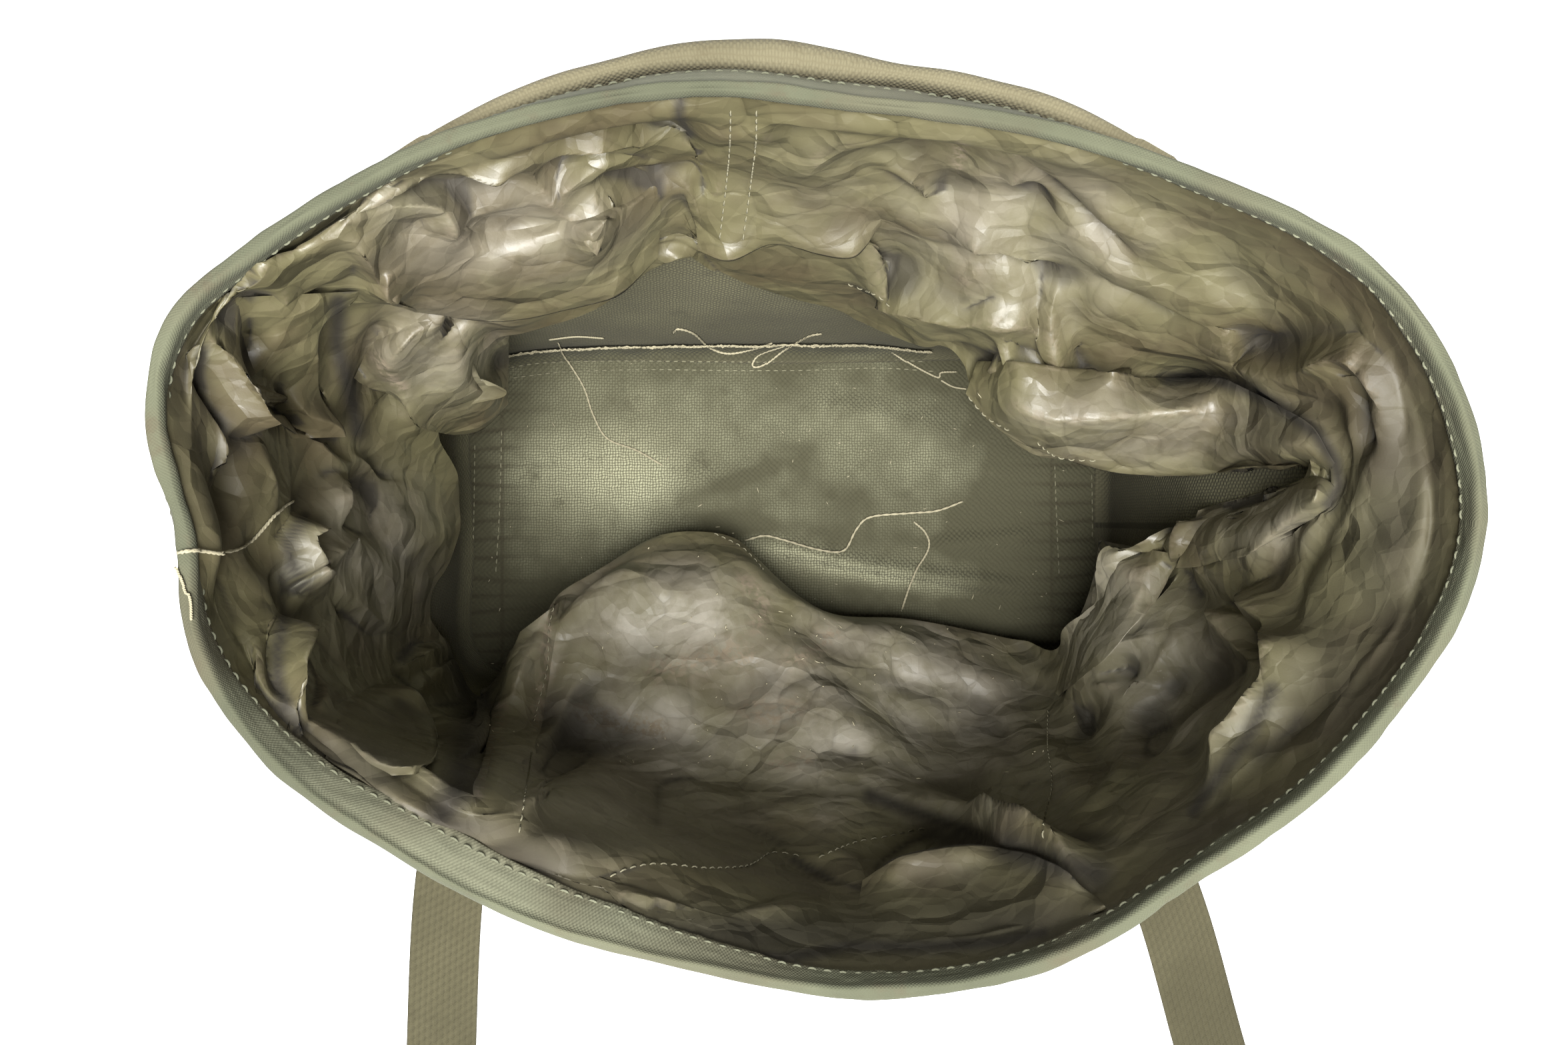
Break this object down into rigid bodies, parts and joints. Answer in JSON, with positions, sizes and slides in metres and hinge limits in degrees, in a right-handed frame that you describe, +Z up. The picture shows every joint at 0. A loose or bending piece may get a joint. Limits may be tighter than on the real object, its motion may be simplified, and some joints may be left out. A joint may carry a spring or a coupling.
{
  "type": "field pack",
  "caption": "Open canvas field pack standing upright, with a bound mouth, a crumpled coated throat collar tucked inside, a folded-back lid flap and webbing straps.",
  "frame": {"origin": "middle of the underside of the bottom panel, on the surface the pack stands on", "axes": "+Z up out of the mouth, -Y to the front where the straps lie, +X to the right seen from the front"},
  "size_m": [0.3194, 0.3451, 0.2167],
  "materials": {
    "canvas": "faded sage canvas, soiled",
    "binding_tape": "pale sage ribbed tape",
    "coated_cloth": "dark olive rubber-coated cloth, half gloss, dusty",
    "flap_canvas": "brownish faded canvas",
    "webbing": "coarse olive webbing"
  },
  "bodies": {
    "root": {"front_wall": "canvas", "back_wall": "canvas", "side_wall_left": "canvas", "side_wall_right": "canvas", "bottom_panel": "canvas", "mouth_binding": "binding_tape", "throat_collar": "coated_cloth", "lid_flap": "flap_canvas", "strap_left": "webbing", "strap_right": "webbing"}
  },
  "joints": []
}
